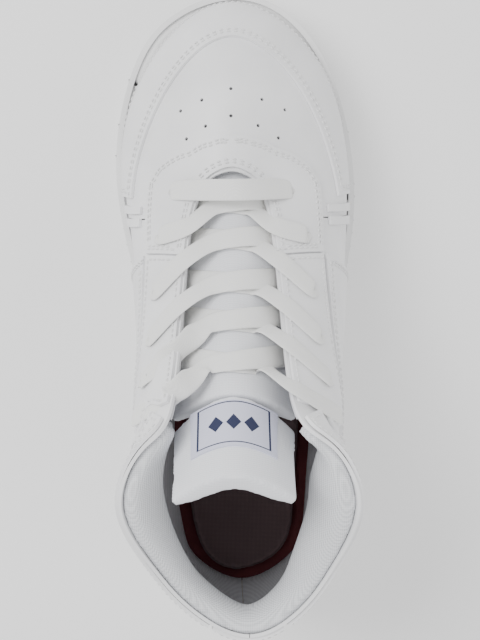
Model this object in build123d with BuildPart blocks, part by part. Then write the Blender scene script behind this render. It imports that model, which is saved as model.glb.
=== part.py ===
from build123d import *
import os
from math import cos, pi, sin

import numpy as np

# White basketball high top, right foot, built as the real shoe is: a rubber cupsole with its foam,
# shank, board and insole, a lasted upper of base panels, overlays, stiffeners and linings, a padded
# collar, a padded tongue whose free top folds, and one flat lace in six pairs of punched holes.
# +Z is up, +Y is the toe and +X is the outer (lateral) side. Millimetres.

# ---- driving dimensions ----
shoe_length = 292.0
ball_lift = 7.0             # toe spring: how far the tip of the sole leaves the ground
spring_start = 225.0        # from the heel back, where the sole starts to rise
cup_wall = 2.5
wall_gap = 0.5              # between the sidewall and the foam inside it
cup_base = 4.5
cup_top_heel = 33.5
cup_top_ball = 27.0
cup_top_toe = 30.0
bed_heel = 22.0             # top of the midsole foam
bed_ball = 11.8
board_thickness = 1.5
insole_thickness = 5.0
board_inset = 12.8          # from the sole's outline, clear of the upper's linings
leather = 1.4
backing = 1.0
lining = 0.8
glue = 0.12                 # glue line between two layers of the same body
pad_wing = 13.0             # collar padding at its thickest
pad_edge = 3.2
eyelet_radius = 2.0
perforation_radius = 0.8
lace_width = 10.5
lace_thickness = 1.3
tongue_cover_thickness = 1.0
tongue_padding_thickness = 5.6
tongue_lining_thickness = 0.8
fold_opening = 9.0          # degrees of wedge on each side of the tongue's fold
fold_y = 119.9              # from the heel back; the fold line lies just outside the cover
fold_z = 137.6

heel_back = -shoe_length / 2
os.makedirs("parts", exist_ok=True)


def save(piece, name):
    piece.part.label = name
    export_step(piece.part, f"parts/{name}.step")


# ---- heights along the shoe, from the distance y behind which the heel starts ----
def ease(value, start, end):
    part = min(max((value - start) / (end - start), 0.0), 1.0)
    return part * part * (3 - 2 * part)


def ground(y):
    return ball_lift * (max(y - spring_start, 0.0) / (shoe_length - spring_start)) ** 2


def bed(y):
    return bed_ball + (bed_heel - bed_ball) * (1 - ease(y, 50, 195)) + 0.85 * ground(y)


def cup_top(y):
    rise = (cup_top_toe - cup_top_ball) * ease(y, spring_start, shoe_length)
    return cup_top_ball + (cup_top_heel - cup_top_ball) * (1 - ease(y, 40, 180)) + rise


# ---- the upper's outer surface: ribs from the sole's edge to the topline ----
# Each rib runs up through five points: x on the lateral side, x on the medial side, distance from
# the back of the heel, and height. The first sits on the cup's lip, so its height follows the cup.
ribs = [
    [(1, 1, 4), (1.5, 1.5, 1.5, 58), (2, 2, 3.5, 84), (3, 3, 9, 109), (4, 4, 14, 130)],
    [(26, 23.5, 16), (27.5, 26, 14, 58), (26, 24, 17, 84), (25.5, 21.5, 22, 108), (27, 21, 27, 132)],
    [(34.5, 31.3, 33), (36, 34.5, 32, 58), (35, 34, 35, 85), (35.5, 33.5, 40, 112), (39.5, 36, 47, 140)],
    [(37, 35, 60), (40.5, 38.5, 60, 58), (40.5, 39, 64, 86), (43, 42, 70, 117), (49, 48, 75, 151)],
    [(39.5, 35.2, 88), (43, 40.5, 88, 57), (43.5, 42, 90, 86), (43, 42.5, 94, 117), (39, 39, 99, 151.5)],
    [(42, 36.2, 113), (45.5, 42.5, 113, 54), (45, 43.5, 113, 80), (41.5, 41.5, 113, 111),
     (25, 28, 111, 147)],
    [(46.5, 40, 143), (49, 44.5, 143, 50), (46, 44, 143, 72), (36.5, 37.5, 142.5, 95), (20, 24, 140, 113)],
    [(51.5, 47.5, 182), (52, 49.5, 183, 43), (46, 45.5, 183, 59), (33, 35, 184, 73), (16, 20, 184, 83)],
    [(51.2, 52.6, 218), (50.5, 51, 216, 39.5), (41.5, 42.5, 212, 52), (26.5, 29, 208, 63),
     (10, 13.5, 203, 71)],
    [(39, 39, 260), (35.5, 35.5, 256, 41), (27, 28, 245, 52.5), (16, 18, 228, 62.5), (4.5, 8, 207.5, 71)],
    [(-1, 1, 287), (-1, 1, 282, 42), (-1, 1, 266, 53.5), (-1.5, 1.5, 241, 63.5), (-1.5, 1.5, 209, 71)],
]
lasted_gap = 0.9            # between the midsole foam and the upper's lasted edge
lip_clearance = 0.5         # the overlays' lower edge above the cup's lip
toe_station = len(ribs) - 1
rows = len(ribs[0])         # row 0 is the lasted edge inside the cup, row 1 the lip, the last the topline


def whole_rib(rib, side):
    x = 0 if side > 0 else 1
    lip_x, lip_y = side * rib[0][x], rib[0][2]
    lasted = (lip_x, lip_y, bed(lip_y) + lasted_gap)
    lip = (lip_x, lip_y, cup_top(lip_y) + lip_clearance)
    return [lasted, lip] + [(side * point[x], point[2], point[3]) for point in rib[1:]]


def spline_weights(count, closed):
    """Turns the points that a uniform cubic spline passes through into its control points."""
    size = count if closed else count + 2
    system = np.zeros((size, size))
    for row in range(count):
        for step, weight in enumerate((1 / 6, 4 / 6, 1 / 6)):
            column = (row - 1 + step) % count if closed else row + step
            system[row if closed else row + 1, column] += weight
    if not closed:
        system[0, :3] = system[-1, -3:] = (1, -2, 1)
    return np.linalg.inv(system)


class Skin:
    """A smooth surface through ribs of points: station counts along the ribs, row along one rib."""

    def __init__(self, rib_points, closed):
        points = np.array(rib_points, float)
        self.closed, self.count, self.last_row = closed, len(points), points.shape[1] - 1
        if not closed:
            points = np.pad(points, ((1, 1), (0, 0), (0, 0)))
        points = np.pad(points, ((0, 0), (1, 1), (0, 0)))
        stations = spline_weights(self.count, closed)
        self.net = np.einsum("ij,kl,jlc->ikc", stations, spline_weights(self.last_row + 1, False), points)

    def value(self, station, row, slope=None):
        first = min(int(np.floor(station)), self.count - 2) if not self.closed else int(np.floor(station))
        below = min(int(row), self.last_row - 1)
        along = self.basis(station - first, slope == "station")
        up = self.basis(row - below, slope == "row")
        columns = [(first - 1 + k) % self.count if self.closed else first + k for k in range(4)]
        return np.einsum("i,j,ijc->c", along, up, self.net[columns][:, below:below + 4])

    @staticmethod
    def basis(a, slope):
        if slope:
            return np.array([-(1 - a) ** 2, 3 * a * a - 4 * a, 1 + 2 * a - 3 * a * a, a * a]) / 2
        return np.array([(1 - a) ** 3, 4 - 6 * a * a + 3 * a**3, 1 + 3 * a + 3 * a * a - 3 * a**3, a**3]) / 6

    def normal(self, station, row):
        across = np.cross(self.value(station, row, "station"), self.value(station, row, "row"))
        return across / np.linalg.norm(across)

    def lifted(self, station, row, offset=0.0):
        return self.value(station, row) + offset * self.normal(station, row)

    def point(self, station, row, offset=0.0):
        x, y, z = self.lifted(station, row, offset)
        return Vector(x, y + heel_back, z)

    def plane(self, station, row):
        return Plane(self.point(station, row), z_dir=Vector(*self.normal(station, row)))


def resolve(setting, *place):
    return setting(*place) if callable(setting) else setting


def slab(skin, stations, span, offsets, columns=24, lines=12):
    """A closed solid on a skin, between two stations, two rows and two offsets from its surface."""
    faces = []
    for offset in offsets:
        grid = []
        for i in range(columns + 1):
            line = []
            for j in range(lines + 1):
                up = j / lines
                start, end = (resolve(limit, up) for limit in stations)
                station = start + (end - start) * i / columns
                low, high = (resolve(limit, station) for limit in span)
                row = low + (high - low) * up
                line.append(skin.point(station, row, resolve(offset, station, row)))
            grid.append(line)
        faces.append(Face.make_surface_from_array_of_points(grid, tol=0.02))
    walls = []
    for edge in faces[0].edges():
        middle = edge.position_at(0.5)
        facing = min(faces[1].edges(), key=lambda other: (other.position_at(0.5) - middle).length)
        walls.append(Face.make_surface_from_curves(edge, facing))
    return Solid(Shell([*faces, *walls]))


upper = Skin(
    [whole_rib(rib, 1) for rib in ribs] + [whole_rib(rib, -1) for rib in ribs[toe_station - 1:0:-1]],
    closed=True,
)
loop = 2 * toe_station      # station loop - t is the medial twin of station t
sides = {"lateral": 1, "medial": -1}


def on_side(side, stations):
    """The same pair of stations on the lateral or the medial half of the loop."""
    if side == "lateral":
        return stations
    return tuple(lambda up, limit=limit: loop - resolve(limit, up) for limit in reversed(stations))


def half(station):
    """How far a station is from the heel's centre line, on either side."""
    return station if station <= toe_station else loop - station


# ---- sole unit ----
# The sole's outline, round from the back of the heel: outer side first, then the toe, then inner.
outline = [
    (1, 0), (30, 14), (40, 45), (44, 100), (51, 150), (57, 198), (48, 250), (27, 282),
    (-1, 292), (-31, 281), (-49, 255), (-57, 210), (-49, 160), (-40, 115), (-38, 55), (-27, 13),
]
rim_height = 60.0
rim = Skin([[(x, y, 0), (x, y, rim_height)] for x, y in outline], closed=True)


outline_steps = 32          # places round the outline that a slice's one closed spline passes through


def rim_points(inset):
    loop_stations = len(outline)
    points = [rim.point(loop_stations * k / outline_steps, 0, -inset) for k in range(outline_steps)]
    return [(point.X, point.Y) for point in points]


def sole_slice(inset, low, high):
    """The sole's outline, drawn in by an inset, between two height curves."""
    margin = 6
    with BuildPart() as block:
        with BuildSketch(Plane.XY.offset(-margin)):
            with BuildLine():
                Spline(*rim_points(inset), periodic=True)
            make_face()
        extrude(amount=rim_height)
        with BuildSketch(Plane.YZ):
            with BuildLine():
                lower = height_line(low, margin)
                upper = height_line(high, margin)
                Line(lower[0] @ 0, upper[0] @ 0)
                Line(lower[1] @ 1, upper[1] @ 1)
            make_face()
        extrude(amount=80, both=True, mode=Mode.INTERSECT)
    return block.part.solid()


def height_line(curve, margin):
    """A height curve as two edges: behind the toe spring, where it may be straight, and over it."""
    rear = [-margin + (spring_start + margin) * k / 10 for k in range(11)]
    front = [spring_start + (shoe_length + margin - spring_start) * k / 6 for k in range(7)]
    rear = [(y + heel_back, curve(y)) for y in rear]
    front = [(y + heel_back, curve(y)) for y in front]
    level = max(z for _, z in rear) == min(z for _, z in rear)
    return (Line(rear[0], rear[-1]) if level else Spline(*rear), Spline(*front))


def above(curve, amount):
    return lambda y: curve(y) + amount


stitch_drop = 6.0
stitch_height = 1.2
stitch_stand = 0.6
board_bottom = above(bed, glue)
board_top = above(bed, glue + board_thickness)
insole_bottom = above(board_top, glue)
insole_top = above(insole_bottom, insole_thickness)

with BuildPart() as outsole:
    add(sole_slice(0, ground, above(ground, cup_base)))
save(outsole, "outsole")


def rim_row(height):
    """A height curve, as a row of the rim's skin at each station."""
    return lambda station: height(rim.value(station, 0)[1]) / rim_height


rim_joint = (0.006, len(outline) - 0.006)    # the sidewall's ends, which meet behind the heel
with BuildPart() as sidewall:
    wall_span = (rim_row(above(ground, cup_base + 0.05)), rim_row(cup_top))
    add(slab(rim, rim_joint, wall_span, (0, -cup_wall), 96, 1))
save(sidewall, "sidewall")

stitch_low = above(cup_top, -stitch_drop)
with BuildPart() as sole_stitching:
    stitch_span = (rim_row(stitch_low), rim_row(above(stitch_low, stitch_height)))
    add(slab(rim, rim_joint, stitch_span, (stitch_stand, 0.05), 96, 1))
save(sole_stitching, "sole_stitching")

shank_centre = (0, 118 + heel_back, 10.5)
with BuildPart() as shank:
    with Locations(shank_centre):
        Box(18, 95, 1.6)
    fillet(shank.edges().filter_by(Axis.Z), 6)
save(shank, "shank")

with BuildPart() as midsole_foam:
    add(sole_slice(cup_wall + wall_gap, above(ground, cup_base + glue), bed))
    with Locations(shank_centre):
        Box(18.4, 95.4, 1.8, mode=Mode.SUBTRACT)
save(midsole_foam, "midsole_foam")

with BuildPart() as insole_board:
    add(sole_slice(board_inset, board_bottom, board_top))
save(insole_board, "insole_board")

with BuildPart() as insole:
    add(sole_slice(board_inset + 0.4, insole_bottom, insole_top))
save(insole, "insole")

# ---- layers of the upper, as offsets from its outer surface ----
base_layer = (0, -leather)
overlay_layer = (glue + leather, glue)
collar_layer = (glue + leather + 0.2, glue + 0.2)
backing_layer = (-leather - glue, -leather - glue - backing)
lining_outside = -leather - backing - 2 * glue
lining_layer = (lining_outside, lining_outside - lining)
topline = rows
topline_inset = rows - 0.05
seam = 0.006                # half a seam's opening, in stations
vamp_back = 7.14
quarter_front = 7.12
lining_seam = 5.0
hem = 1.02                  # the overlays' lower edge
eyelets = [(7.58, 4.3), (6.88, 4.3), (6.35, 4.3), (5.9, 4.3), (5.38, 4.3), (4.68, 4.28)]


def punch(skin, places, radius):
    """Round holes through the panel being built, square to the skin."""
    with Locations(*[skin.plane(*place) for place in places]):
        Cylinder(radius, 12, mode=Mode.SUBTRACT)


def eyelet_places(side, first, last):
    return [(t if side == "lateral" else loop - t, row) for t, row in eyelets[first:last]]


perforations = [(8.95, 3.45), (9.35, 3.72), (10, 3.82), (10.65, 3.72), (11.05, 3.45)]
perforations += [(8.75, 3.95), (9.25, 4.15), (10, 4.24), (10.75, 4.15), (11.25, 3.95)]

with BuildPart() as vamp:
    add(slab(upper, (vamp_back, loop - vamp_back), (0, topline), base_layer, 48, 20))
    for side in sides:
        punch(upper, eyelet_places(side, 0, 1), eyelet_radius)
    punch(upper, perforations, perforation_radius)
save(vamp, "vamp")

for side in sides:
    with BuildPart() as quarter:
        add(slab(upper, on_side(side, (seam, quarter_front)), (0, topline), base_layer, 40, 20))
        punch(upper, eyelet_places(side, 1, 6), eyelet_radius)
    save(quarter, f"quarter_{side}")

with BuildPart() as toe_puff:
    add(slab(upper, (8.2, loop - 8.2), (0.2, 2.7), backing_layer, 30))
save(toe_puff, "toe_puff")

with BuildPart() as heel_counter:
    add(slab(upper, (-2.6, 2.6), (0.2, 3.3), backing_layer, 30))
save(heel_counter, "heel_counter")

for side in sides:
    with BuildPart() as eyestay_backing:
        add(slab(upper, on_side(side, (5.1, 7.8)), (3.95, topline_inset), backing_layer))
        punch(upper, eyelet_places(side, 0, 5), eyelet_radius)
    save(eyestay_backing, f"eyestay_backing_{side}")

with BuildPart() as vamp_lining:
    add(slab(upper, (vamp_back, loop - vamp_back), (0, topline_inset), lining_layer, 48, 20))
    for side in sides:
        punch(upper, eyelet_places(side, 0, 1), eyelet_radius)
save(vamp_lining, "vamp_lining")

for side in sides:
    with BuildPart() as quarter_lining:
        add(slab(upper, on_side(side, (seam, lining_seam)), (0, 3.65), lining_layer, 40, 16))
    save(quarter_lining, f"quarter_lining_{side}")

    with BuildPart() as eyestay_lining:
        stations = on_side(side, (lining_seam + 0.02, quarter_front))
        add(slab(upper, stations, (0, topline_inset), lining_layer, 24, 20))
        punch(upper, eyelet_places(side, 1, 5), eyelet_radius)
    save(eyestay_lining, f"eyestay_lining_{side}")

# ---- padded collar ----
collar_front = 4.85
collar_low = 3.75


def pad_depth(station, row):
    bulge = sin(pi * (row - collar_low) / (topline_inset - collar_low)) ** 0.6
    fullness = pad_wing - pad_edge - 3.0 * (1 - ease(half(station), 0.5, 2.5))
    fullness *= 1 - 0.95 * ease(half(station), 3.2, 4.5)
    return pad_edge + fullness * bulge


def pad_inside(station, row):
    return -leather - glue - pad_depth(station, min(max(row, collar_low), topline_inset))


def collar_lining_outside(station, row):
    return pad_inside(station, row) - glue


def collar_lining_inside(station, row):
    return pad_inside(station, row) - glue - lining


collar_span = (collar_low, topline_inset)
with BuildPart() as collar_padding:
    add(slab(upper, (-collar_front, collar_front), collar_span, (-leather - glue, pad_inside), 40))
    for side in sides:
        with Locations(upper.plane(*eyelet_places(side, 5, 6)[0])):
            Cylinder(eyelet_radius, 30, mode=Mode.SUBTRACT)
save(collar_padding, "collar_padding")

with BuildPart() as collar_lining:
    add(slab(upper, (-collar_front, collar_front), collar_span,
             (collar_lining_outside, collar_lining_inside), 40))
    for side in sides:
        with Locations(upper.plane(*eyelet_places(side, 5, 6)[0])):
            Cylinder(eyelet_radius, 30, mode=Mode.SUBTRACT)
save(collar_lining, "collar_lining")

# ---- overlays ----
toe_cap_back = 7.45
toe_cap_top = 2.8

with BuildPart() as mudguard:
    add(slab(upper, (toe_cap_back, loop - toe_cap_back), (hem, toe_cap_top), overlay_layer, 40))
save(mudguard, "mudguard")


def eyestay_edge(station):
    """The stitched outer edge of the front eyestay, by distance from the toe's centre line."""
    return float(np.interp(
        abs(station - toe_station),
        [0, 0.7, 1.35, 1.7, 1.95, 2.3, 3.3],
        [4.55, 4.42, 4.15, 3.8, 3.55, 3.42, 3.7],
    ))


front_eyestay_back = 6.7
with BuildPart() as eyestay_front:
    add(slab(upper, (front_eyestay_back, loop - front_eyestay_back), (eyestay_edge, topline_inset),
             overlay_layer, 60))
    for side in sides:
        punch(upper, eyelet_places(side, 0, 2), eyelet_radius)
save(eyestay_front, "eyestay_front")


def eyestay_top(station):
    return 4.48 + (topline_inset - 4.48) * ease(half(station), 4.95, 5.25)


def collar_panel_low(station):
    return 3.8 + 0.82 * ease(half(station), 3.9, 4.3)


for side in sides:
    with BuildPart() as eyestay:
        stations = on_side(side, (4.4, front_eyestay_back - 0.02))
        add(slab(upper, stations, (3.72, eyestay_top), overlay_layer, 30))
        punch(upper, eyelet_places(side, 2, 6), eyelet_radius)
    save(eyestay, f"eyestay_{side}")

    with BuildPart() as quarter_overlay:
        front_edge = (1.72, lambda up: 6.3 + 0.38 * up)
        add(slab(upper, on_side(side, front_edge), (hem, 3.6), overlay_layer, 30))
    save(quarter_overlay, f"quarter_overlay_{side}")

    with BuildPart() as side_strips:
        for centre in (7.08, 7.26):
            stations = on_side(side, (centre - 0.055, centre + 0.055))
            add(slab(upper, stations, (hem, 3.32), overlay_layer, 4, 10))
    save(side_strips, f"side_strips_{side}")

    with BuildPart() as collar_panel:
        stations = on_side(side, (0.62, 4.93))
        add(slab(upper, stations, (collar_panel_low, topline_inset), collar_layer, 40, 16))
    save(collar_panel, f"collar_panel_{side}")

with BuildPart() as heel_panel:
    add(slab(upper, (-1.68, 1.68), (hem, 3.25), overlay_layer))
save(heel_panel, "heel_panel")

with BuildPart() as heel_tab:
    add(slab(upper, (-0.56, 0.56), (3.32, topline_inset), overlay_layer))
save(heel_tab, "heel_tab")

# ---- tongue ----
# Each rib crosses the tongue: centre distance from the heel back, centre height, half width, and
# how far the sides fall back and down from the centre.
tongue_ribs = [
    (222, 61, 15, -1, -4), (206, 66, 21, -3, -8), (186, 81.5, 28, -5, -15), (163, 97.5, 30, -8, -20),
    (141, 114, 30.5, -12, -20), (122, 132, 27, -15, -16), (106, 150.5, 25, -14, -11), (92, 170, 25, -12, -8),
]
tongue_centre_x = -1.5
tongue_steps = (-1.0, -0.68, -0.34, 0.0, 0.34, 0.68, 1.0)


def tongue_rib(y, z, half_width, back, down):
    return [
        (tongue_centre_x + half_width * side, y + back * abs(side) ** 1.8, z + down * abs(side) ** 1.8)
        for side in tongue_steps
    ]


tongue = Skin([tongue_rib(*rib) for rib in tongue_ribs], closed=False)
tongue_last = len(tongue_ribs) - 1
tongue_right = len(tongue_steps) - 1
cover_inside = -tongue_cover_thickness
padding_outside = cover_inside - glue


def padding_inside(station, row):
    edge = 1 - abs(row / tongue_right * 2 - 1) ** 4
    return padding_outside - 0.8 - (tongue_padding_thickness - 0.8) * edge * ease(station, -0.5, 2.5)


tongue_layers = {
    "cover": (0, cover_inside),
    "padding": (padding_outside, padding_inside),
    "lining": (
        lambda station, row: padding_inside(station, row) - glue,
        lambda station, row: padding_inside(station, row) - glue - tongue_lining_thickness,
    ),
}
fold_point = (tongue_centre_x, fold_y + heel_back, fold_z)
fold_below, fold_above = tongue_ribs[5], tongue_ribs[6]
fold_normal = Vector(0, fold_above[0] - fold_below[0], fold_above[1] - fold_below[1]).normalized()


def fold_plane(turn):
    return Plane(fold_point, x_dir=(1, 0, 0), z_dir=fold_normal.rotate(Axis.X, turn))


for layer, offsets in tongue_layers.items():
    for name, keep, turn in (("tongue", Keep.BOTTOM, 1), ("tongue_top", Keep.TOP, -1)):
        with BuildPart() as tongue_piece:
            add(slab(tongue, (0, tongue_last), (0.02, tongue_right - 0.02), offsets, 28, 12))
            split(bisect_by=fold_plane(turn * fold_opening), keep=keep)
        save(tongue_piece, f"{name}_{layer}")

label_stations = (5.35, 6.35)
label_edge = 1.02
with BuildPart() as tongue_label:
    add(slab(tongue, label_stations, (label_edge, tongue_right - label_edge), (0.8, glue), 6, 10))
save(tongue_label, "tongue_label")

# ---- lace ----
# The bar runs straight over the lowest pair of eyelets. Above it each strand comes up from under
# one eyestay's edge, crosses the tongue and enters the next eyelet of the other side from above.
# The strands that end on the medial side lie on top where a pair crosses.
lace_over = glue + leather + 1.3 + lace_thickness / 2
lace_rest = 0.9 + lace_thickness / 2
lace_cross = lace_rest + lace_thickness + 0.9
crossing_places = (194, 179, 161, 145.5, 129.5)     # from the heel back, on the tongue's centre line
far_shoulder = 7.0          # how far past the centre line a strand starts, on its far side
near_shoulder = 6.0         # and how far past it, at most, the strand leaves the tongue
edge_fall = 10.0            # how far back a strand has moved where it climbs over the eyestay's edge
brink_inset = 2.0           # how far inside the throat's edge the top of that climb lies
brink_rise = 0.4
bar_rise = 1.2


def over(side, station, row, lift):
    """A place on the upper, as a point and the direction that faces out of it."""
    station = station if side == "lateral" else loop - station
    return upper.lifted(station, row, lift), upper.normal(station, row)


def edge_station(side, y):
    """The station where the throat's edge is a distance y from the back of the heel."""
    stations = np.linspace(4.6, 8.6, 81)
    return float(np.interp(y, [over(side, t, topline, 0)[0][1] for t in stations], stations))


def on_tongue(x, y, lift):
    ys = [rib[0] for rib in tongue_ribs]
    station = float(np.interp(-y, [-value for value in ys], range(len(ys))))
    half_width = float(np.interp(station, range(len(ys)), [rib[2] for rib in tongue_ribs]))
    row = tongue_right / 2 + (x - tongue_centre_x) / (tongue_steps[-3] * half_width)
    return tongue.lifted(station, row, lift), tongue.normal(station, row)


def ribbon(path):
    ribs_across = []
    last = len(path) - 1
    for i, (centre, facing) in enumerate(path):
        ahead = path[min(i + 1, last)][0] - path[max(i - 1, 0)][0]
        across = np.cross(facing, ahead)
        across *= lace_width / 2 / np.linalg.norm(across)
        ribs_across.append([centre - across, centre, centre + across])
    surface = Skin(ribs_across, closed=False)
    return slab(surface, (0, last), (0, 2), (lace_thickness / 2, -lace_thickness / 2), 4 * last, 2)


def crossing(side, pair, lift):
    """A strand from the tongue's far shoulder, over the centre, to the next eyelet of a side."""
    place = crossing_places[pair]
    edge = edge_station(side, place - edge_fall)
    brink, facing = over(side, edge, topline, lace_over + brink_rise)
    brink = brink - np.array([sides[side] * brink_inset, 0, 0])
    reach = min(near_shoulder, 0.42 * abs(brink[0] - tongue_centre_x))
    path = []
    for x, back, rise in ((-far_shoulder, 0.0, 0.2), (0, 0.5, 0.0), (reach, 3.0, 0.8)):
        path.append(on_tongue(tongue_centre_x + x * sides[side], place - back, lift + rise))
    station, row = eyelets[pair + 1]
    return path + [(brink, facing), over(side, station, row, lace_over)]


def bar():
    """The straight run over the lowest pair of eyelets, arched clear of the first crossing."""
    station, row = eyelets[0]
    places = [("medial", row, 0), ("medial", 4.8, bar_rise), ("lateral", 4.8, bar_rise), ("lateral", row, 0)]
    return [over(side, station, place, lace_over + rise) for side, place, rise in places]


with BuildPart() as lace:
    add(ribbon(bar()))
    for pair in range(len(crossing_places)):
        add(ribbon(crossing("lateral", pair, lace_rest)))
        add(ribbon(crossing("medial", pair, lace_cross)))
save(lace, "lace")

# The lace's ends are tucked inside, down between the tongue and the eyestay lining.
tip_radius = 1.7
tip_length = 16.0
with BuildPart() as lace_tips:
    for side in sides:
        high, low = (over(side, 5.3, row, -6.5)[0] + (0, heel_back, 0) for row in (3.6, 3.0))
        with BuildSketch(Plane(Vector(*high), z_dir=Vector(*(low - high)))):
            Circle(tip_radius)
        extrude(amount=tip_length)
save(lace_tips, "lace_tips")
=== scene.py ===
import math

import bmesh
import bpy
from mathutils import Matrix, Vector
from mathutils.bvhtree import BVHTree
from mathutils.kdtree import KDTree


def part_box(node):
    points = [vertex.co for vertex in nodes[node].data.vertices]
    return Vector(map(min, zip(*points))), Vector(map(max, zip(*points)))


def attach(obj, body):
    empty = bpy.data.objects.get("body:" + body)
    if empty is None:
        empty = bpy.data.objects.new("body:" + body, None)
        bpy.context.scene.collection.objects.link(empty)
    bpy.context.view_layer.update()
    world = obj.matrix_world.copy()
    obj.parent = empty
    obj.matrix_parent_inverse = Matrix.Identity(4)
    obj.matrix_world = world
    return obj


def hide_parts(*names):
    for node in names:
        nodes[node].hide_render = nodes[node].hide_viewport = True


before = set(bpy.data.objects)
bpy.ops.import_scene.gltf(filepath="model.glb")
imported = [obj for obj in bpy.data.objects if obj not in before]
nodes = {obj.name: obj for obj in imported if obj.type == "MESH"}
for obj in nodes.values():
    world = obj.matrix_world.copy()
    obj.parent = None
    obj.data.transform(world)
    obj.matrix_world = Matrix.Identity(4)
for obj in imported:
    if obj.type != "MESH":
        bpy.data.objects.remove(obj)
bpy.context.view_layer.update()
mm = 0.001

# the camera looks straight down into the shoe, leaning a little to the heel
view = {
    "place": (1.49, 58.71, 674.94),
    "looks": (0.0, -0.1035, -0.9946),
    "roll": 0.66,           # degrees
    "lens": 75.4,
}


def setCamera():
    cameraData = bpy.data.cameras.new("camera")
    cameraData.lens = view["lens"]
    cameraData.sensor_width = 36
    cameraData.clip_start = 0.01
    camera = bpy.data.objects.new("camera", cameraData)
    bpy.context.scene.collection.objects.link(camera)
    camera.location = Vector(view["place"]) * mm
    looks = Vector(view["looks"]).normalized()
    right = Vector((1, 0, 0))
    up = right.cross(looks)
    turn = math.radians(view["roll"])
    upRolled = up * math.cos(turn) + right * math.sin(turn)
    rightRolled = right * math.cos(turn) - up * math.sin(turn)
    turned = camera.matrix_world.to_3x3()
    turned.col[0], turned.col[1], turned.col[2] = rightRolled, upRolled, -looks
    camera.rotation_euler = turned.to_euler()
    bpy.context.scene.camera = camera


setCamera()
print("camera set")

# ---- finishes ----


def newGroup(name, inputs, outputs):
    group = bpy.data.node_groups.new(name, "ShaderNodeTree")
    for socketName, kind, default in inputs:
        socket = group.interface.new_socket(socketName, in_out="INPUT", socket_type=kind)
        if default is not None:
            socket.default_value = default
    for socketName, kind in outputs:
        group.interface.new_socket(socketName, in_out="OUTPUT", socket_type=kind)
    return group, group.nodes.new("NodeGroupInput"), group.nodes.new("NodeGroupOutput")


def mathNode(tree, operation, first, second):
    node = tree.nodes.new("ShaderNodeMath")
    node.operation = operation
    for socket, value in zip(node.inputs, (first, second)):
        if isinstance(value, bpy.types.NodeSocket):
            tree.links.new(value, socket)
        else:
            socket.default_value = value
    return node.outputs[0]


def grainGroup():
    # pebbled hide: cells with soft edges, over a slower swell
    group, given, out = newGroup(
        "hideGrain", [("Scale", "NodeSocketFloat", 900.0)],
        [("Height", "NodeSocketFloat"), ("Tone", "NodeSocketFloat")])
    place = group.nodes.new("ShaderNodeTexCoord")
    cells = group.nodes.new("ShaderNodeTexVoronoi")
    cells.feature = "SMOOTH_F1"
    swell = group.nodes.new("ShaderNodeTexNoise")
    swell.inputs["Scale"].default_value = 45.0
    swell.inputs["Detail"].default_value = 4.0
    group.links.new(place.outputs["Object"], cells.inputs["Vector"])
    group.links.new(place.outputs["Object"], swell.inputs["Vector"])
    group.links.new(given.outputs["Scale"], cells.inputs["Scale"])
    height = mathNode(group, "ADD", cells.outputs["Distance"], swell.outputs["Fac"])
    group.links.new(height, out.inputs["Height"])
    group.links.new(swell.outputs["Fac"], out.inputs["Tone"])
    return group


def weaveGroup():
    # over and under threads, crossing at right angles
    group, given, out = newGroup(
        "weave", [("Vector", "NodeSocketVector", None), ("Scale", "NodeSocketFloat", 1000.0)],
        [("Height", "NodeSocketFloat"), ("Tone", "NodeSocketFloat")])
    bands = []
    for direction in ("X", "Y", "Z"):
        band = group.nodes.new("ShaderNodeTexWave")
        band.bands_direction = direction
        band.inputs["Distortion"].default_value = 0.4
        group.links.new(given.outputs["Vector"], band.inputs["Vector"])
        group.links.new(given.outputs["Scale"], band.inputs["Scale"])
        bands.append(band.outputs["Fac"])
    height = mathNode(group, "ADD", mathNode(group, "ADD", bands[0], bands[1]), bands[2])
    group.links.new(mathNode(group, "MULTIPLY", height, 0.333), out.inputs["Height"])
    swell = group.nodes.new("ShaderNodeTexNoise")
    swell.inputs["Scale"].default_value = 60.0
    group.links.new(given.outputs["Vector"], swell.inputs["Vector"])
    group.links.new(swell.outputs["Fac"], out.inputs["Tone"])
    return group


hideGrain = grainGroup()
weave = weaveGroup()

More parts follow.
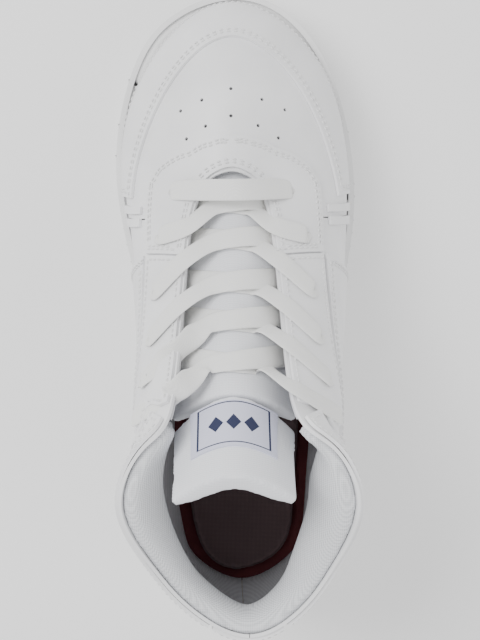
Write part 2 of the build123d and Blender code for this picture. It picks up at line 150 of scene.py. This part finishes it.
finishes = {
    "hide": {"low": (0.80, 0.80, 0.81), "high": (0.87, 0.87, 0.88), "rough": 0.42, "scale": 900.0,
             "bump": 0.12, "effect": "grain"},
    "rubber": {"low": (0.80, 0.80, 0.80), "high": (0.86, 0.86, 0.86), "rough": 0.55, "scale": 1500.0,
               "bump": 0.05, "effect": "grain"},
    "thread": {"low": (0.78, 0.78, 0.78), "high": (0.86, 0.86, 0.86), "rough": 0.7, "scale": 2200.0,
               "bump": 0.3, "effect": "weave"},
    "laceWeave": {"low": (0.80, 0.80, 0.785), "high": (0.88, 0.88, 0.865), "rough": 0.85, "scale": 700.0,
                  "bump": 0.5, "effect": "weave"},
    "meshLining": {"low": (0.56, 0.57, 0.59), "high": (0.78, 0.79, 0.81), "rough": 0.9, "scale": 420.0,
                   "bump": 0.6, "effect": "weave"},
    "innerLining": {"low": (0.60, 0.60, 0.62), "high": (0.74, 0.74, 0.76), "rough": 0.9, "scale": 500.0,
                    "bump": 0.4, "effect": "weave"},
    "insoleCloth": {"low": (0.11, 0.072, 0.075), "high": (0.19, 0.13, 0.135), "rough": 0.92,
                    "scale": 480.0, "bump": 0.5, "effect": "weave"},
    "tongueCloth": {"low": (0.74, 0.75, 0.79), "high": (0.84, 0.85, 0.88), "rough": 0.85, "scale": 520.0,
                    "bump": 0.35, "effect": "weave"},
    "labelCloth": {"low": (0.56, 0.57, 0.70), "high": (0.70, 0.71, 0.84), "rough": 0.8, "scale": 900.0,
                   "bump": 0.4, "effect": "weave"},
    "redEdge": {"low": (0.10, 0.018, 0.022), "high": (0.17, 0.035, 0.04), "rough": 0.85, "scale": 900.0,
                "bump": 0.2, "effect": "grain"},
    "board": {"low": (0.50, 0.46, 0.38), "high": (0.60, 0.55, 0.46), "rough": 0.8, "scale": 800.0,
              "bump": 0.1, "effect": "grain"},
    "steel": {"low": (0.45, 0.45, 0.46), "high": (0.55, 0.55, 0.56), "rough": 0.35, "scale": 1500.0,
              "bump": 0.05, "effect": "grain"},
}


def makeFinish(name):
    look = finishes[name]
    material = bpy.data.materials.new(name)
    material.use_nodes = True
    tree = material.node_tree
    shader = tree.nodes["Principled BSDF"]
    effect = tree.nodes.new("ShaderNodeGroup")
    effect.node_tree = hideGrain if look["effect"] == "grain" else weave
    effect.inputs["Scale"].default_value = look["scale"]
    if look["effect"] == "weave":
        place = tree.nodes.new("ShaderNodeTexCoord")
        tree.links.new(place.outputs["Object"], effect.inputs["Vector"])
    tones = tree.nodes.new("ShaderNodeValToRGB")
    tones.color_ramp.elements[0].position = 0.3
    tones.color_ramp.elements[1].position = 0.7
    tones.color_ramp.elements[0].color = (*look["low"], 1)
    tones.color_ramp.elements[1].color = (*look["high"], 1)
    tree.links.new(effect.outputs["Height" if look["effect"] == "weave" else "Tone"], tones.inputs["Fac"])
    tree.links.new(tones.outputs["Color"], shader.inputs["Base Color"])
    bump = tree.nodes.new("ShaderNodeBump")
    bump.inputs["Strength"].default_value = look["bump"]
    bump.inputs["Distance"].default_value = 0.2 * mm
    tree.links.new(effect.outputs["Height"], bump.inputs["Height"])
    tree.links.new(bump.outputs["Normal"], shader.inputs["Normal"])
    shader.inputs["Roughness"].default_value = look["rough"]
    if name == "steel":
        shader.inputs["Metallic"].default_value = 1.0
    return material


materials = {name: makeFinish(name) for name in finishes}


def labelFinish():
    # woven field with a thin border and three plain diamonds, drawn from the label's own UV map
    material = makeFinish("labelCloth")
    tree = material.node_tree
    shader = tree.nodes["Principled BSDF"]
    ground = shader.inputs["Base Color"].links[0].from_socket
    uv = tree.nodes.new("ShaderNodeUVMap")
    uv.uv_map = "labelMap"
    split = tree.nodes.new("ShaderNodeSeparateXYZ")
    tree.links.new(uv.outputs["UV"], split.inputs[0])

    def away(socket, centre):
        return mathNode(tree, "ABSOLUTE", mathNode(tree, "SUBTRACT", socket, centre), 0.0)

    across = away(split.outputs["X"], 0.5)
    along = away(split.outputs["Y"], 0.5)
    far = mathNode(tree, "MAXIMUM", across, along)
    border = mathNode(tree, "LESS_THAN", away(far, 0.40), 0.011)
    mark = border
    for centre in (0.3, 0.5, 0.7):
        spread = mathNode(tree, "ADD", away(split.outputs["X"], centre),
                          mathNode(tree, "MULTIPLY", along, 0.55))
        mark = mathNode(tree, "MAXIMUM", mark, mathNode(tree, "LESS_THAN", spread, 0.085))
    mix = tree.nodes.new("ShaderNodeMix")
    mix.data_type = "RGBA"
    colours = [socket for socket in mix.inputs if socket.type == "RGBA"]
    colours[1].default_value = (0.02, 0.025, 0.07, 1)
    tree.links.new(mark, mix.inputs[0])
    tree.links.new(ground, colours[0])
    tree.links.new([s for s in mix.outputs if s.type == "RGBA"][0], shader.inputs["Base Color"])
    return material


materials["label"] = labelFinish()
print("finishes made")

# ---- the hard and leather pieces keep their own shape and get their finish ----


def finishFor(node):
    if node in ("outsole", "sidewall"):
        return "rubber"
    if node == "sole_stitching":
        return "thread"
    if node == "shank":
        return "steel"
    if node in ("insole_board", "midsole_foam"):
        return "redEdge"
    if node in ("toe_puff", "heel_counter") or "backing" in node:
        return "board"
    if "lining" in node:
        return "innerLining"
    if node == "lace_tips":
        return "rubber"
    return "hide"


for nodeName, cadObject in nodes.items():
    cadObject.data.materials.clear()
    cadObject.data.materials.append(materials[finishFor(nodeName)])
print("finishes placed on", len(nodes), "nodes")

# ---- helpers that read the frame's own surfaces ----


def meshObject(name, points, faces, finish, body="shoe", smooth=True):
    mesh = bpy.data.meshes.new(name)
    mesh.from_pydata(points, [], faces)
    mesh.update()
    if smooth:
        mesh.polygons.foreach_set("use_smooth", [True] * len(mesh.polygons))
    made = bpy.data.objects.new(name, mesh)
    bpy.context.scene.collection.objects.link(made)
    made.data.materials.append(materials[finish])
    if body:
        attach(made, body)
    return made


def surfaceTree(names):
    points = []
    faces = []
    for name in names:
        start = len(points)
        points += [v.co.copy() for v in nodes[name].data.vertices]
        faces += [[start + i for i in p.vertices] for p in nodes[name].data.polygons]
    return BVHTree.FromPolygons(points, faces)


def under(tree, x, y):
    place, normal, _, _ = tree.ray_cast(Vector((x, y, 0.4)), Vector((0, 0, -1)))
    return place, normal


def outerFace(name):
    # the smooth outward face of a panel, as a bmesh and the set of its faces
    panel = bmesh.new()
    panel.from_mesh(nodes[name].data)
    bmesh.ops.remove_doubles(panel, verts=panel.verts, dist=2e-6)
    panel.faces.ensure_lookup_table()
    seen = set()
    best = (0.0, set())
    for start in panel.faces:
        if start in seen:
            continue
        region = {start}
        queue = [start]
        seen.add(start)
        while queue:
            face = queue.pop()
            for edge in face.edges:
                if len(edge.link_faces) != 2 or edge.calc_face_angle(3.0) > 0.6:
                    continue
                for other in edge.link_faces:
                    if other not in seen:
                        seen.add(other)
                        region.add(other)
                        queue.append(other)
        outward = 0.0
        for face in region:
            centre = face.calc_center_median()
            core = Vector((0, min(max(centre.y, -0.10), 0.09), 0.045))
            outward += face.calc_area() * face.normal.dot((centre - core).normalized())
        if outward > best[0]:
            best = (outward, region)
    return panel, best[1]


def edgeLoops(region):
    # closed loops of (place, inward direction, normal) round an outer face
    following = {}
    for face in region:
        for loop in face.loops:
            if sum(other in region for other in loop.edge.link_faces) == 1:
                following[loop.vert] = (loop.link_loop_next.vert, face.normal.copy())
    loops = []
    while following:
        start = next(iter(following))
        chain = []
        here = start
        while here in following:
            ahead, normal = following.pop(here)
            tangent = (ahead.co - here.co)
            if tangent.length > 1e-7:
                inward = normal.cross(tangent).normalized()
                chain.append((here.co.copy(), inward, normal))
            here = ahead
        if len(chain) > 5:
            loops.append(chain)
    return loops


def loopLength(chain):
    return sum((chain[i][0] - chain[i - 1][0]).length for i in range(len(chain)))


stitching = {"pitch": 2.9 * mm, "long": 2.1 * mm, "thread": 0.42 * mm, "lift": 0.3 * mm}
cupTree = surfaceTree(["sidewall"])


def stitchRow(chain, tree, inset, pitch):
    # places along a loop, drawn in from its edge and laid back on the panel
    original = KDTree(len(chain))
    for i, (place, _, _) in enumerate(chain):
        original.insert(place, i)
    original.balance()
    resampled = []
    left = 0.0
    for i in range(len(chain)):
        here, inward, _ = chain[i]
        ahead = chain[(i + 1) % len(chain)][0]
        span = (ahead - here).length
        while left <= span and span > 0:
            resampled.append(here.lerp(ahead, left / span) + inward * inset)
            left += pitch
        left -= span
    row = []
    for place in resampled:
        found, normal, _, _ = tree.find_nearest(place)
        if found is None or original.find(found)[2] < 0.9 * inset:
            row.append(None)
        elif cupTree.find_nearest(found)[3] < 3.5 * mm:
            row.append(None)
        else:
            row.append((found, normal))
    return row


def threadMesh(rows, name, body="shoe", finish="thread"):
    points = []
    faces = []
    sections = ((-0.5, -0.6, 0.5), (-0.3, 0.7, 1), (0, 1, 1), (0.3, 0.7, 1), (0.5, -0.6, 0.5))
    for row in rows:
        for i in range(len(row)):
            if row[i] is None or row[(i + 1) % len(row)] is None:
                continue
            here, normal = row[i]
            along = row[(i + 1) % len(row)][0] - here
            if along.length < 1e-5 or along.length > 2 * stitching["pitch"]:
                continue
            along.normalize()
            across = normal.cross(along).normalized()
            base = len(points)
            for place, rise, girth in sections:
                centre = here + along * place * stitching["long"] + normal * rise * stitching["lift"]
                for k in range(6):
                    turn = math.tau * k / 6
                    points.append(centre + girth * stitching["thread"]
                                  * (across * math.cos(turn) + normal * math.sin(turn)))
            for ring in range(4):
                for k in range(6):
                    a = base + 6 * ring + k
                    b = base + 6 * ring + (k + 1) % 6
                    faces.append((a, b, b + 6, a + 6))
            faces.append(tuple(base + k for k in reversed(range(6))))
            faces.append(tuple(base + 24 + k for k in range(6)))
    return meshObject(name, points, faces, finish, body) if faces else None


stitchedPanels = {      # panel: how far in from its edge each row of stitches runs, in mm
    "mudguard": (2.2, 3.7),
    "eyestay_front": (2.0, 3.4),
    "eyestay_lateral": (2.0,),
    "eyestay_medial": (2.0,),
    "quarter_overlay_lateral": (2.0, 3.4),
    "quarter_overlay_medial": (2.0, 3.4),
    "collar_panel_lateral": (2.2,),
    "collar_panel_medial": (2.2,),
    "heel_panel": (2.0, 3.4),
    "heel_tab": (1.8,),
    "vamp": (),
}
eyelets = []
for panelName, insets in stitchedPanels.items():
    panel, region = outerFace(panelName)
    tree = BVHTree.FromBMesh(panel)
    loops = edgeLoops(region)
    rows = []
    for chain in loops:
        around = loopLength(chain)
        if 0.009 < around < 0.016:
            middle = sum((place for place, _, _ in chain), Vector()) / len(chain)
            eyelets.append((panelName, middle, chain[0][2]))
        elif around > 0.05:
            rows += [stitchRow(chain, tree, inset * mm, stitching["pitch"]) for inset in insets]
    threadMesh(rows, "stitches_" + panelName)
    panel.free()
print("stitched; eyelets found:", len(eyelets))

# ---- soft pieces, swelled from the space their solids hold ----


def softCopy(name, sources, voxel, finish, relax, grow):
    points = []
    faces = []
    for source in sources:
        copied = bmesh.new()
        copied.from_mesh(nodes[source].data)
        bmesh.ops.remove_doubles(copied, verts=copied.verts, dist=2e-6)
        copied.verts.ensure_lookup_table()
        start = len(points)
        points += [v.co.copy() for v in copied.verts]
        faces += [[start + v.index for v in f.verts] for f in copied.faces]
        copied.free()
    soft = meshObject(name, points, faces, finish, None)
    remesh = soft.modifiers.new("even", "REMESH")
    remesh.mode = "VOXEL"
    remesh.voxel_size = voxel
    smoothing = soft.modifiers.new("relax", "SMOOTH")
    smoothing.iterations = relax
    smoothing.factor = 0.5
    if grow:
        swell = soft.modifiers.new("swell", "DISPLACE")
        swell.strength = grow
        swell.mid_level = 0.0
    depsgraph = bpy.context.evaluated_depsgraph_get()
    baked = bpy.data.meshes.new_from_object(soft.evaluated_get(depsgraph))
    soft.modifiers.clear()
    soft.data = baked
    if not baked.materials:
        baked.materials.append(materials[finish])
    baked.polygons.foreach_set("use_smooth", [True] * len(baked.polygons))
    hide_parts(*sources)
    return soft


collarPad = softCopy("collarPad", ["collar_padding", "collar_lining"], 1.3 * mm, "meshLining", 8, 0.2 * mm)
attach(collarPad, "shoe")

insole = softCopy("footbed", ["insole"], 1.6 * mm, "insoleCloth", 4, 0.0)
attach(insole, "shoe")

lowerTongue = softCopy("tongueBody", ["tongue_cover", "tongue_padding", "tongue_lining"], 0.9 * mm,
                       "tongueCloth", 22, 0.3 * mm)
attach(lowerTongue, "shoe")

upperTongue = softCopy("tongueTop", ["tongue_top_cover", "tongue_top_padding", "tongue_top_lining"],
                       0.9 * mm, "tongueCloth", 22, 0.3 * mm)
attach(upperTongue, "tongue_top")
print("soft pieces swelled")


def makeLabel():
    source = nodes["tongue_label"]
    mesh = source.data.copy()
    mesh.materials.clear()
    label = bpy.data.objects.new("wovenLabel", mesh)
    bpy.context.scene.collection.objects.link(label)
    mesh.materials.append(materials["label"])
    low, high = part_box("tongue_label")
    middle = (low + high) / 2
    facing = sum((p.normal * p.area for p in mesh.polygons if p.normal.z > 0), Vector()).normalized()
    upward = facing.cross(Vector((1, 0, 0))).normalized()
    reach = max(abs((v.co - middle).dot(upward)) for v in mesh.vertices)
    layer = mesh.uv_layers.new(name="labelMap")
    for corner in mesh.loops:
        place = mesh.vertices[corner.vertex_index].co - middle
        layer.data[corner.index].uv = (0.5 + place.x / (high.x - low.x), 0.5 + place.dot(upward) / (2 * reach))
    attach(label, "tongue_top")
    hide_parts("tongue_label")


makeLabel()

# ---- the cup's ledge, which closes the space between its lip and the upper ----
ledge = {"toeWide": 7.0 * mm, "wide": 2.4 * mm, "toeFrom": 0.055, "drop": 1.2 * mm, "thick": 1.2 * mm}


def makeLedge():
    wall = nodes["sidewall"].data
    rings = {}
    for v in wall.vertices:
        key = round(math.atan2(v.co.x, v.co.y) / math.tau * 240) % 240
        core = Vector((0, min(max(v.co.y, -0.10), 0.09), 0))
        flat = Vector((v.co.x, v.co.y, 0)) - core
        rings.setdefault(key, []).append((v.co.copy(), flat))
    points = []
    for key in sorted(rings):
        top = max(place.z for place, _ in rings[key])
        lip = [item for item in rings[key] if item[0].z > top - 1.0 * mm]
        place, flat = min(lip, key=lambda item: item[1].length)
        inward = -flat.normalized()
        outerEdge = Vector((place.x, place.y, top - ledge["drop"])) - inward * 0.8 * mm
        wide = ledge["toeWide"] if place.y > ledge["toeFrom"] else ledge["wide"]
        innerEdge = outerEdge + inward * wide - Vector((0, 0, 0.8 * mm))
        sunk = Vector((0, 0, ledge["thick"]))
        points += [outerEdge, innerEdge, innerEdge - sunk, outerEdge - sunk]
    count = len(points) // 4
    faces = []
    for i in range(count):
        j = (i + 1) % count
        for k in range(4):
            m = (k + 1) % 4
            faces.append((4 * i + k, 4 * j + k, 4 * j + m, 4 * i + m))
    made = meshObject("cupLedge", points, faces, "rubber")


makeLedge()

# ---- lace ----
lacing = {
    "wide": 10.0 * mm,
    "thick": 1.3 * mm,
    "crossings": (194, 179, 161, 145.5, 129.5),     # mm from the back of the heel
    "back": 10.0,           # mm that a strand moves back before it climbs over the eyestay
    "rest": 1.0 * mm,
}
heelBack = -0.146
tongueTree = surfaceTree(["tongue_cover"])
stayNames = ["eyestay_front", "eyestay_lateral", "eyestay_medial", "vamp", "quarter_lateral",
             "quarter_medial"]
stayTree = surfaceTree(stayNames)


def throatEdge(side, y):
    x = 0.004
    while x < 0.06 and under(stayTree, side * x, y)[0] is None:
        x += 0.0005
    return x


def onTongue(x, y, lift):
    place, normal = under(tongueTree, x, y)
    if place is None:
        place, normal, _, _ = tongueTree.find_nearest(Vector((x, y, 0.12)))
    normal = normal if normal.z > 0 else -normal
    return place + normal * lift, normal


def onStay(x, y, lift):
    place, normal = under(stayTree, x, y)
    if place is None:
        place, normal, _, _ = stayTree.find_nearest(Vector((x, y, 0.12)))
    normal = normal if normal.z > 0 else -normal
    return place + normal * lift, normal


def curveAt(values, t):
    i = min(int(t), len(values) - 2)
    a = t - i
    before = values[max(i - 1, 0)]
    after = values[min(i + 2, len(values) - 1)]
    return 0.5 * (2 * values[i] + (values[i + 1] - before) * a
                  + (2 * before - 5 * values[i] + 4 * values[i + 1] - after) * a * a
                  + (3 * values[i] - before - 3 * values[i + 1] + after) * a**3)


def strand(name, path):
    # path: (place, normal, share of the lace's width)
    steps = 12 * (len(path) - 1)
    places = [p[0] for p in path]
    normals = [p[1] for p in path]
    shares = [Vector((p[2], 0, 0)) for p in path]
    profile = []
    for k in range(14):
        turn = math.tau * k / 14
        flat = abs(math.cos(turn)) ** 0.6 * math.copysign(1, math.cos(turn))
        profile.append((flat * lacing["wide"] / 2, math.sin(turn) * lacing["thick"] / 2))
    points = []
    for step in range(steps + 1):
        t = step * (len(path) - 1) / steps
        centre = curveAt(places, t)
        ahead = curveAt(places, min(t + 0.05, len(path) - 1)) - curveAt(places, max(t - 0.05, 0))
        across = curveAt(normals, t).cross(ahead).normalized()
        upward = ahead.cross(across).normalized()
        share = curveAt(shares, t).x
        points += [centre + across * x * share + upward * z for x, z in profile]
    faces = []
    for step in range(steps):
        for k in range(14):
            a = 14 * step + k
            b = 14 * step + (k + 1) % 14
            faces.append((a, b, b + 14, a + 14))
    faces.append(tuple(reversed(range(14))))
    faces.append(tuple(14 * steps + k for k in range(14)))
    made = meshObject(name, points, faces, "laceWeave")
    return made


def sortedEyelets(side):
    found = []
    for panelName, place, normal in eyelets:
        if panelName.startswith("eyestay") and place.x * side > 0:
            if all((place - other[0]).length > 0.004 for other in found):
                found.append((place, normal))
    return sorted(found, key=lambda hole: -hole[0].y)


def makeLace():
    holes = {1: sortedEyelets(1), -1: sortedEyelets(-1)}
    print("eyelets on each side:", len(holes[1]), len(holes[-1]))
    lift = lacing["thick"] / 2 + 0.5 * mm
    bar = []
    for side, hole in ((-1, holes[-1][0]), (1, holes[1][0])):
        place, normal = hole
        sunk = (place - normal * 1.5 * mm, normal, 0.5)
        top = (place + normal * (lift + 0.2 * mm) - Vector((side * 2.5 * mm, 0, 0)), normal, 1.0)
        bar += [sunk, top] if side < 0 else [top, sunk]
    middle = onStay(0, (bar[1][0].y + bar[2][0].y) / 2, lift)
    crest = max(middle[0].z, (bar[1][0].z + bar[2][0].z) / 2 + 2.5 * mm)
    bar.insert(2, (Vector((0, (bar[1][0].y + bar[2][0].y) / 2, crest)), Vector((0, 0.3, 1)).normalized(), 1.0))
    strand("laceBar", bar)
    for pair, crossing in enumerate(lacing["crossings"]):
        y = heelBack + crossing * mm
        for side, layer in ((1, 0), (-1, 1)):
            if pair + 1 >= len(holes[side]):
                continue
            rest = lacing["rest"] + layer * (lacing["thick"] + 0.4 * mm)
            farEdge = throatEdge(-side, y)
            climbY = y - lacing["back"] * mm
            nearEdge = throatEdge(side, climbY)
            path = [(*onTongue(-side * (farEdge + 3 * mm), y, lacing["rest"]), 1.0)]
            path.append((*onTongue(-side * farEdge * 0.5, y, rest), 1.0))
            path.append((*onTongue(0, y - 0.5 * mm, rest), 1.0))
            path.append((*onTongue(side * nearEdge * 0.45, y - 3 * mm, rest + 0.5 * mm), 1.0))
            brink, normal = onStay(side * (nearEdge + 0.8 * mm), climbY, lift + 0.9 * mm)
            path.append((brink, normal, 1.0))
            place, normal = holes[side][pair + 1]
            path.append((place + normal * lift, normal, 0.95))
            path.append((place - normal * 1.5 * mm + Vector((side * 2 * mm, 0, 0)), normal, 0.5))
            strand(f"lace_{pair}_{'lateral' if side > 0 else 'medial'}", path)
    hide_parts("lace")


makeLace()
print("laced")

# ---- floor and light ----
stageLook = {"floor": (0.97, 0.97, 0.97), "sky": 0.95, "key": 15.0, "fill": 4.0}


def makeStage():
    floorFinish = bpy.data.materials.new("paleFloor")
    floorFinish.use_nodes = True
    shader = floorFinish.node_tree.nodes["Principled BSDF"]
    shader.inputs["Base Color"].default_value = (*stageLook["floor"], 1)
    shader.inputs["Roughness"].default_value = 0.9
    mesh = bpy.data.meshes.new("floor")
    mesh.from_pydata([(-6, -6, 0), (6, -6, 0), (6, 6, 0), (-6, 6, 0)], [], [(0, 1, 2, 3)])
    floor = bpy.data.objects.new("floor", mesh)
    mesh.materials.append(floorFinish)
    bpy.context.scene.collection.objects.link(floor)
    world = bpy.data.worlds.new("sky")
    world.use_nodes = True
    world.node_tree.nodes["Background"].inputs["Color"].default_value = (1, 1, 1, 1)
    world.node_tree.nodes["Background"].inputs["Strength"].default_value = stageLook["sky"]
    bpy.context.scene.world = world
    for name, place, power, size in (
            ("key", (-0.7, 0.5, 1.1), stageLook["key"], 0.8),
            ("fill", (0.8, -0.5, 0.9), stageLook["fill"], 0.9)):
        lamp = bpy.data.lights.new(name, "AREA")
        lamp.energy = power
        lamp.size = size
        hung = bpy.data.objects.new(name, lamp)
        hung.location = place
        hung.rotation_euler = (-Vector(place)).to_track_quat("-Z", "Y").to_euler()
        bpy.context.scene.collection.objects.link(hung)


makeStage()
